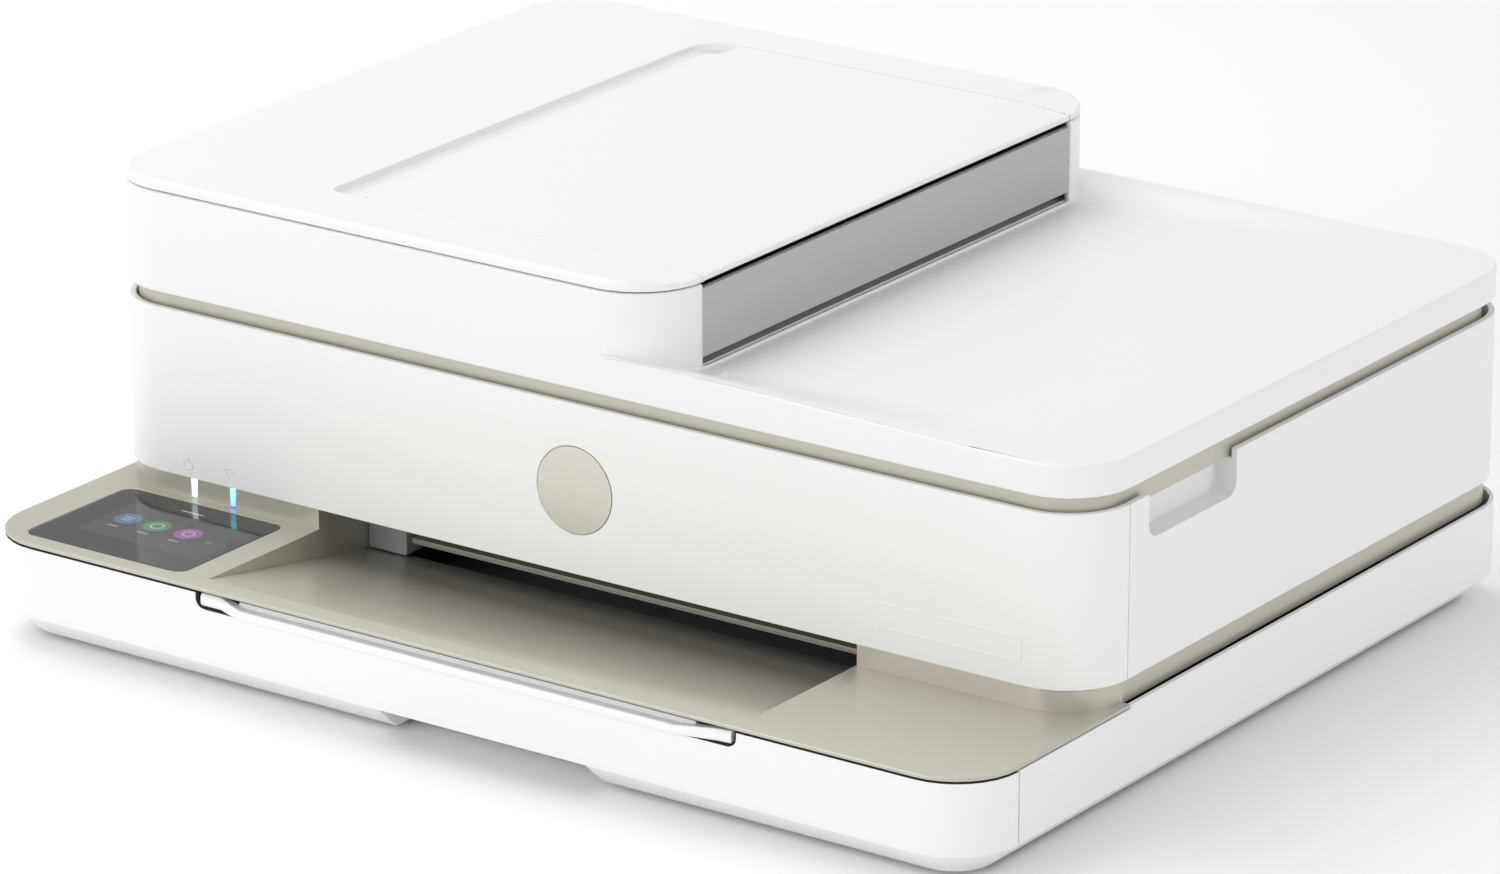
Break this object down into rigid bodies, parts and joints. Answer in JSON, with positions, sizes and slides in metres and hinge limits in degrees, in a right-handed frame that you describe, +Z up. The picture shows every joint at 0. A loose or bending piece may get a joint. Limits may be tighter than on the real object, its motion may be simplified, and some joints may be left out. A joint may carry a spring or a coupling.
{
  "type": "all-in-one inkjet printer",
  "caption": "White and beige all-in-one inkjet printer with a front paper drawer, touchscreen, flatbed scanner lid and a document feeder on top.",
  "frame": {"origin": "middle of the footprint, on the surface the printer stands on", "axes": "+X to the right of someone facing the front, +Y towards the back, +Z up"},
  "size_m": [0.432, 0.3627, 0.1589],
  "materials": {
    "white_plastic": "fine satin",
    "beige_plastic": "satin",
    "grey_plastic": "matte",
    "dark_plastic": "matte",
    "black_glass": "polished black",
    "clear_glass": "clear",
    "rubber": "matte",
    "zinc_steel": "zinc plated",
    "light_pipe": "translucent",
    "pad_white": "white sheet",
    "circuit_board": "solder mask",
    "badge_plastic": "satin metallic"
  },
  "bodies": {
    "housing": {"base_housing": "white_plastic", "base_plate": "rubber", "deck_cover": "beige_plastic", "touchscreen_glass": "black_glass", "status_lights": "light_pipe", "front_fascia": "white_plastic", "badge_disc": "badge_plastic", "side_panel_left": "white_plastic", "side_panel_right": "white_plastic", "rear_panel": "white_plastic", "mid_frame": "beige_plastic", "bay_side_post": "grey_plastic", "exit_guide": "beige_plastic", "chassis_frame": "zinc_steel", "guide_rod": "zinc_steel", "platen": "dark_plastic", "feed_motor": "zinc_steel", "carriage_belt": "rubber", "carriage_motor": "zinc_steel", "service_station": "dark_plastic", "turn_guide": "dark_plastic", "main_board": "circuit_board", "usb_port": "zinc_steel", "power_supply": "dark_plastic", "power_inlet": "dark_plastic", "scanner_hinges": "zinc_steel"},
    "power_button": {"power_button": "grey_plastic"},
    "drawer": {"drawer_front": "white_plastic", "paper_tray": "grey_plastic"},
    "width_guide_left": {"width_guide_left": "dark_plastic"},
    "width_guide_right": {"width_guide_right": "dark_plastic"},
    "length_guide": {"length_guide": "dark_plastic"},
    "output_extender": {"output_extender": "white_plastic"},
    "carriage": {"print_carriage": "dark_plastic", "cartridge_colour": "dark_plastic", "cartridge_black": "dark_plastic"},
    "motor_pulley": {"motor_pulley": "grey_plastic"},
    "tension_pulley": {"tension_pulley": "grey_plastic"},
    "feed_roller": {"feed_roller": "rubber"},
    "idler_gear": {"idler_gear": "grey_plastic"},
    "exit_roller": {"exit_roller": "rubber"},
    "motor_pinion": {"motor_pinion": "zinc_steel"},
    "pick_arm": {"pick_arm": "dark_plastic"},
    "pick_roller": {"pick_roller": "rubber"},
    "scanner_unit": {"scanner_base": "beige_plastic", "scanner_glass": "clear_glass", "feeder_scan_glass": "clear_glass", "scan_rod": "zinc_steel"},
    "scan_bar": {"scan_bar": "dark_plastic"},
    "lid": {"lid_panel": "white_plastic", "lid_pad": "pad_white", "feeder_end_wall": "grey_plastic", "feeder_frame": "dark_plastic"},
    "feeder_drive_roller": {"feeder_drive_roller": "rubber"},
    "feeder_pick_roller": {"feeder_pick_roller": "rubber"},
    "feeder_guide_front": {"feeder_guide_front": "grey_plastic"},
    "feeder_guide_rear": {"feeder_guide_rear": "grey_plastic"},
    "feeder_cover": {"feeder_cover": "white_plastic"},
    "feeder_input_tray": {"feeder_input_tray": "white_plastic"}
  },
  "joints": [
    {"name": "power_button_press", "type": "slide", "parent": "housing", "child": "power_button", "axis": [0, -1, 0], "range_m": [0, 0.0012], "stiffness_N_per_m": 250},
    {"name": "drawer_slide", "type": "slide", "parent": "housing", "child": "drawer", "axis": [0, -1, 0], "range_m": [0, 0.22]},
    {"name": "width_guide_left_slide", "type": "slide", "parent": "drawer", "child": "width_guide_left", "axis": [1, 0, 0], "range_m": [-0.012, 0.05]},
    {"name": "width_guide_right_slide", "type": "slide", "parent": "drawer", "child": "width_guide_right", "axis": [1, 0, 0], "range_m": [-0.05, 0.012]},
    {"name": "length_guide_slide", "type": "slide", "parent": "drawer", "child": "length_guide", "axis": [0, -1, 0], "range_m": [0, 0.08]},
    {"name": "extender_slide", "type": "slide", "parent": "drawer", "child": "output_extender", "axis": [0, -0.9855, 0.1695], "range_m": [0, 0.055]},
    {"name": "carriage_slide", "type": "slide", "parent": "housing", "child": "carriage", "axis": [1, 0, 0], "range_m": [-0.255, 0]},
    {"name": "motor_pulley_turn", "type": "hinge", "parent": "housing", "child": "motor_pulley", "pos_m": [0.176, 0.07745, 0.076], "axis": [0, 0, 1], "continuous": true},
    {"name": "tension_pulley_turn", "type": "hinge", "parent": "housing", "child": "tension_pulley", "pos_m": [-0.176, 0.07745, 0.076], "axis": [0, 0, 1], "continuous": true},
    {"name": "feed_roller_turn", "type": "hinge", "parent": "housing", "child": "feed_roller", "pos_m": [0, 0.05045, 0.055], "axis": [1, 0, 0], "continuous": true},
    {"name": "idler_turn", "type": "hinge", "parent": "housing", "child": "idler_gear", "pos_m": [-0.1965, 0.02645, 0.055], "axis": [1, 0, 0], "continuous": true},
    {"name": "exit_roller_turn", "type": "hinge", "parent": "housing", "child": "exit_roller", "pos_m": [0, 0.00445, 0.055], "axis": [1, 0, 0], "continuous": true},
    {"name": "pinion_turn", "type": "hinge", "parent": "housing", "child": "motor_pinion", "pos_m": [-0.1965, -0.01155, 0.055], "axis": [1, 0, 0], "continuous": true},
    {"name": "pick_arm_swing", "type": "hinge", "parent": "housing", "child": "pick_arm", "pos_m": [0, 0.07245, 0.05], "axis": [-1, 0, 0], "range_deg": [0, 20]},
    {"name": "pick_roller_turn", "type": "hinge", "parent": "pick_arm", "child": "pick_roller", "pos_m": [0, 0.12445, 0.044], "axis": [1, 0, 0], "continuous": true},
    {"name": "scanner_unit_hinge", "type": "hinge", "parent": "housing", "child": "scanner_unit", "pos_m": [0, 0.17595, 0.112], "axis": [-1, 0, 0], "range_deg": [0, 35]},
    {"name": "scan_bar_slide", "type": "slide", "parent": "scanner_unit", "child": "scan_bar", "axis": [1, 0, 0], "range_m": [0, 0.31]},
    {"name": "lid_hinge", "type": "hinge", "parent": "scanner_unit", "child": "lid", "pos_m": [0, 0.17845, 0.1183], "axis": [-1, 0, 0], "range_deg": [0, 80]},
    {"name": "feeder_drive_turn", "type": "hinge", "parent": "lid", "child": "feeder_drive_roller", "pos_m": [-0.15, 0.03445, 0.1413], "axis": [0, 1, 0], "continuous": true},
    {"name": "feeder_pick_turn", "type": "hinge", "parent": "lid", "child": "feeder_pick_roller", "pos_m": [-0.1225, 0.03445, 0.1425], "axis": [0, 1, 0], "continuous": true},
    {"name": "feeder_guide_front_slide", "type": "slide", "parent": "lid", "child": "feeder_guide_front", "axis": [0, 1, 0], "range_m": [0, 0.05]},
    {"name": "feeder_guide_rear_slide", "type": "slide", "parent": "lid", "child": "feeder_guide_rear", "axis": [0, 1, 0], "range_m": [-0.05, 0]},
    {"name": "feeder_cover_hinge", "type": "hinge", "parent": "lid", "child": "feeder_cover", "pos_m": [-0.2138, 0.03445, 0.1551], "axis": [0, -1, 0], "range_deg": [0, 50]},
    {"name": "input_tray_hinge", "type": "hinge", "parent": "feeder_cover", "child": "feeder_input_tray", "pos_m": [0.0347, 0.03695, 0.156], "axis": [0, 1, 0], "range_deg": [0, 160]}
  ],
  "couplings": [
    {"joint": "width_guide_right_slide", "follows": "width_guide_left_slide", "ratio": -1},
    {"joint": "motor_pulley_turn", "follows": "carriage_slide", "rad_per_m": 158.73},
    {"joint": "tension_pulley_turn", "follows": "carriage_slide", "rad_per_m": 158.73},
    {"joint": "idler_turn", "follows": "feed_roller_turn", "ratio": -1},
    {"joint": "exit_roller_turn", "follows": "feed_roller_turn", "ratio": 1.2},
    {"joint": "pinion_turn", "follows": "feed_roller_turn", "ratio": -2},
    {"joint": "feeder_pick_turn", "follows": "feeder_drive_turn", "ratio": 1.7857},
    {"joint": "feeder_guide_rear_slide", "follows": "feeder_guide_front_slide", "ratio": -1}
  ]
}
